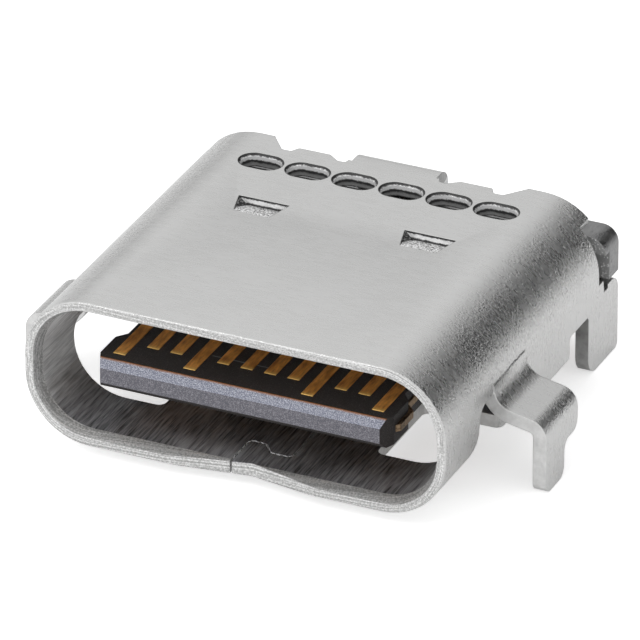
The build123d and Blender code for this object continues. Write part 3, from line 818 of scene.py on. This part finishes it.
def contact_row_tree():
    """Row of contacts at an even pitch: long ones stand at its ends and at every few places from them"""
    tree = bpy.data.node_groups.new("contact_row", "GeometryNodeTree")
    for label, kind in (
        ("Count", "NodeSocketInt"),
        ("Pitch", "NodeSocketFloat"),
        ("Long every", "NodeSocketInt"),
        ("Material", "NodeSocketMaterial"),
        *((label, "NodeSocketObject") for label, _ in CONTACT_SHAPES),
    ):
        tree.interface.new_socket(label, in_out="INPUT", socket_type=kind)
    tree.interface.new_socket("Geometry", in_out="OUTPUT", socket_type="NodeSocketGeometry")
    given, result = tree.nodes.new("NodeGroupInput"), tree.nodes.new("NodeGroupOutput")
    place = add(tree, "GeometryNodeInputIndex")
    last = add(tree, "ShaderNodeMath", {1: 1}, operation="SUBTRACT")
    far_place = add(tree, "ShaderNodeMath", operation="SUBTRACT")
    from_end = add(tree, "ShaderNodeMath", operation="MINIMUM")
    turn = add(tree, "ShaderNodeMath", operation="MODULO")
    short = add(tree, "ShaderNodeMath", {1: 0.5}, operation="GREATER_THAN")
    odd = add(tree, "ShaderNodeMath", {1: 2}, operation="MODULO")
    shape = add(tree, "ShaderNodeMath", {1: 2}, operation="MULTIPLY_ADD")
    half = add(tree, "ShaderNodeMath", {1: -0.5}, operation="MULTIPLY")
    start = add(tree, "ShaderNodeMath", operation="MULTIPLY")
    start_place = add(tree, "ShaderNodeCombineXYZ")
    step = add(tree, "ShaderNodeCombineXYZ")
    line = add(tree, "GeometryNodeMeshLine", mode="OFFSET")
    joined = add(tree, "GeometryNodeJoinGeometry")
    real = add(tree, "GeometryNodeRealizeInstances")
    finish = add(tree, "GeometryNodeSetMaterial")
    wire(
        tree,
        (given.outputs["Count"], last.inputs[0]),
        (last.outputs[0], far_place.inputs[0]),
        (place.outputs["Index"], far_place.inputs[1]),
        (place.outputs["Index"], from_end.inputs[0]),
        (far_place.outputs[0], from_end.inputs[1]),
        (from_end.outputs[0], turn.inputs[0]),
        (given.outputs["Long every"], turn.inputs[1]),
        (turn.outputs[0], short.inputs[0]),
        (place.outputs["Index"], odd.inputs[0]),
        (odd.outputs[0], shape.inputs[0]),
        (short.outputs[0], shape.inputs[2]),
        (last.outputs[0], half.inputs[0]),
        (half.outputs[0], start.inputs[0]),
        (given.outputs["Pitch"], start.inputs[1]),
        (start.outputs[0], start_place.inputs["X"]),
        (given.outputs["Pitch"], step.inputs["X"]),
        (given.outputs["Count"], line.inputs["Count"]),
        (start_place.outputs[0], line.inputs["Start Location"]),
        (step.outputs[0], line.inputs["Offset"]),
    )
    # A place's number is 2 at an odd place and 0 at an even one, plus 1 for a short contact
    for number, (label, _) in enumerate(CONTACT_SHAPES):
        template = add(tree, "GeometryNodeObjectInfo")
        chosen = add(tree, "ShaderNodeMath", {1: number, 2: 0.5}, operation="COMPARE")
        placed = add(tree, "GeometryNodeInstanceOnPoints")
        wire(
            tree,
            (given.outputs[label], template.inputs["Object"]),
            (shape.outputs[0], chosen.inputs[0]),
            (line.outputs["Mesh"], placed.inputs["Points"]),
            (chosen.outputs[0], placed.inputs["Selection"]),
            (template.outputs["Geometry"], placed.inputs["Instance"]),
            (placed.outputs["Instances"], joined.inputs["Geometry"]),
        )
    wire(
        tree,
        (joined.outputs["Geometry"], real.inputs["Geometry"]),
        (real.outputs["Geometry"], finish.inputs["Geometry"]),
        (given.outputs["Material"], finish.inputs["Material"]),
        (finish.outputs["Geometry"], result.inputs["Geometry"]),
    )
    return tree


def contact_template(node):
    """Copy of a packed contact in the middle of its row, with each point's distance from the tip"""
    mesh = merged_mesh(node, f"{node}_template")
    sides = [vertex.co.x for vertex in mesh.vertices]
    tip = min(vertex.co.y for vertex in mesh.vertices)
    mesh.transform(Matrix.Translation((-(min(sides) + max(sides)) / 2, 0, 0)))
    from_tip = mesh.attributes.new("from_tip", "FLOAT", "POINT")
    for vertex, distance in zip(mesh.vertices, from_tip.data):
        distance.value = (vertex.co.y - tip) / TIP_LENGTH
    template = bpy.data.objects.new(mesh.name, mesh)
    bpy.context.scene.collection.objects.link(template)
    return template


def make_contact_row(row):
    """The upper or the lower row, in place of its packed contacts"""
    templates = {label: contact_template(f"{row}_contact_{number:02d}") for label, number in CONTACT_SHAPES}
    values = {
        "Count": CONTACT_COUNT,
        "Pitch": CONTACT_PITCH,
        "Long every": LONG_CONTACT_EVERY,
        "Material": contact_gold,
        **templates,
    }
    piece = bpy.data.objects.new(f"{row}_contact_row", bpy.data.meshes.new(f"{row}_contact_row"))
    bpy.context.scene.collection.objects.link(piece)
    modifier = piece.modifiers.new("contact_row", "NODES")
    modifier.node_group = CONTACT_ROW
    for item in CONTACT_ROW.interface.items_tree:
        if item.in_out == "INPUT":
            modifier[item.identifier] = values[item.name]
    depsgraph = bpy.context.evaluated_depsgraph_get()
    mesh = bpy.data.meshes.new_from_object(
        piece.evaluated_get(depsgraph), preserve_all_data_layers=True, depsgraph=depsgraph)
    piece.modifiers.remove(modifier)
    piece.data = mesh
    for template in templates.values():
        bpy.data.objects.remove(template)
    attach(piece, "root")
    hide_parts(*(f"{row}_contact_{number:02d}" for number in range(1, CONTACT_COUNT + 1)))


CONTACT_ROW = contact_row_tree()
for row in ("upper", "lower"):
    make_contact_row(row)


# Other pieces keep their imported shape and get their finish

NODE_FINISHES = {
    "tongue": tongue_moulding,
    "upper_carrier": carrier_moulding,
    "lower_carrier": carrier_moulding,
    "mid_plate": latch_sheet,
    "upper_ground_plate": ground_sheet,
    "lower_ground_plate": ground_sheet,
}
for node, material in NODE_FINISHES.items():
    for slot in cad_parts[node].material_slots:
        slot.material = material


# Floor, room, lamp and camera

def make_floor():
    """Wide pale floor under the feet"""
    mesh = bpy.data.meshes.new("floor")
    shape = bmesh.new()
    bmesh.ops.create_grid(shape, x_segments=1, y_segments=1, size=FLOOR_SIZE)
    shape.to_mesh(mesh)
    shape.free()
    mesh.transform(Matrix.Translation((0, 0, FOOT_LEVEL - FLOOR_GAP)))
    floor = bpy.data.objects.new("floor", mesh)
    bpy.context.scene.collection.objects.link(floor)
    material, tree, shader = new_material("pale_floor")
    shader.inputs["Base Color"].default_value = (*grey(0.85), 1)
    shader.inputs["Roughness"].default_value = 0.9
    shader.inputs["Specular IOR Level"].default_value = 0
    glow = add(tree, "ShaderNodeEmission", {"Color": (1, 1, 1, 1)})
    path = add(tree, "ShaderNodeLightPath")
    to_camera = add(tree, "ShaderNodeMath", {1: CAMERA_GLOW}, operation="MULTIPLY")
    level = add(tree, "ShaderNodeMath", {1: MIRROR_GLOW}, operation="MULTIPLY_ADD")
    both = add(tree, "ShaderNodeAddShader")
    wire(
        tree,
        (path.outputs["Is Camera Ray"], to_camera.inputs[0]),
        (path.outputs["Is Glossy Ray"], level.inputs[0]),
        (to_camera.outputs[0], level.inputs[2]),
        (level.outputs[0], glow.inputs["Strength"]),
        (shader.outputs["BSDF"], both.inputs[0]),
        (glow.outputs["Emission"], both.inputs[1]),
        (both.outputs[0], tree.nodes["Material Output"].inputs["Surface"]),
    )
    mesh.materials.append(material)


def direction(azimuth, elevation):
    """Way to a point of the room, in degrees: azimuth 0 is straight behind the part and 90 is to its right"""
    turn, rise = math.radians(azimuth), math.radians(elevation)
    return Vector((math.sin(turn) * math.cos(rise), math.cos(turn) * math.cos(rise), math.sin(rise)))


def make_room():
    """World: a white room with a dark card behind the part on its right and a grey one on its left, and plain
    white for the camera"""
    world = bpy.data.worlds.new("studio")
    bpy.context.scene.world = world
    world.use_nodes = True
    tree = world.node_tree
    background = tree.nodes["Background"]
    place = add(tree, "ShaderNodeTexCoord")
    levels = []
    for way, stops in ((DARK_CARD_WAY, DARK_CARD), (GREY_CARD_WAY, GREY_CARD)):
        towards_card = add(tree, "ShaderNodeVectorMath", operation="DOT_PRODUCT")
        towards_card.inputs[1].default_value = direction(*way)
        card = brightness_ramp(tree, stops)
        wire(
            tree,
            (place.outputs["Generated"], towards_card.inputs[0]),
            (towards_card.outputs["Value"], card.inputs["Fac"]),
        )
        levels.append(card.outputs["Color"])
    cards = add(tree, "ShaderNodeMix", {"Factor": 1}, data_type="RGBA", blend_type="MULTIPLY")
    path = add(tree, "ShaderNodeLightPath")
    seen = add(tree, "ShaderNodeMix", {"B": (1, 1, 1, 1)}, data_type="RGBA")
    wire(
        tree,
        (levels[0], cards.inputs["A"]),
        (levels[1], cards.inputs["B"]),
        (path.outputs["Is Camera Ray"], seen.inputs["Factor"]),
        (cards.outputs["Result"], seen.inputs["A"]),
        (seen.outputs["Result"], background.inputs["Color"]),
    )
    background.inputs["Strength"].default_value = 1


def make_key_lamp():
    """Soft square lamp that faces the part"""
    data = bpy.data.lights.new("key_lamp", "AREA")
    data.size = KEY_LAMP_SIZE
    data.energy = KEY_LAMP_POWER
    lamp = bpy.data.objects.new("key_lamp", data)
    way = direction(*KEY_LAMP_WAY)
    lamp.location = way * KEY_LAMP_DISTANCE
    lamp.rotation_euler = way.to_track_quat("Z", "Y").to_euler()
    bpy.context.scene.collection.objects.link(lamp)


def make_camera():
    """Camera that looks at the part as the photograph does"""
    back = Vector((
        math.sin(CAMERA_AZIMUTH) * math.cos(CAMERA_ELEVATION),
        -math.cos(CAMERA_AZIMUTH) * math.cos(CAMERA_ELEVATION),
        math.sin(CAMERA_ELEVATION),
    ))
    right = Vector((math.cos(CAMERA_AZIMUTH), math.sin(CAMERA_AZIMUTH), 0))
    up = back.cross(right)
    target = right * CAMERA_RIGHT + up * CAMERA_UP
    rolled_right = right * math.cos(CAMERA_ROLL) + up * math.sin(CAMERA_ROLL)
    rolled_up = up * math.cos(CAMERA_ROLL) - right * math.sin(CAMERA_ROLL)
    data = bpy.data.cameras.new("camera")
    data.sensor_width = SENSOR_MM
    data.lens = FOCAL_PIXELS / PICTURE_PIXELS * SENSOR_MM
    data.clip_start = CLIP_NEAR
    data.clip_end = CLIP_FAR
    camera = bpy.data.objects.new("camera", data)
    camera.matrix_world = Matrix.Translation(target + back * CAMERA_DISTANCE) @ Matrix(
        (rolled_right, rolled_up, back)).transposed().to_4x4()
    bpy.context.scene.collection.objects.link(camera)
    bpy.context.scene.camera = camera


make_floor()
make_room()
make_key_lamp()
make_camera()
bpy.context.scene.view_settings.view_transform = "Standard"
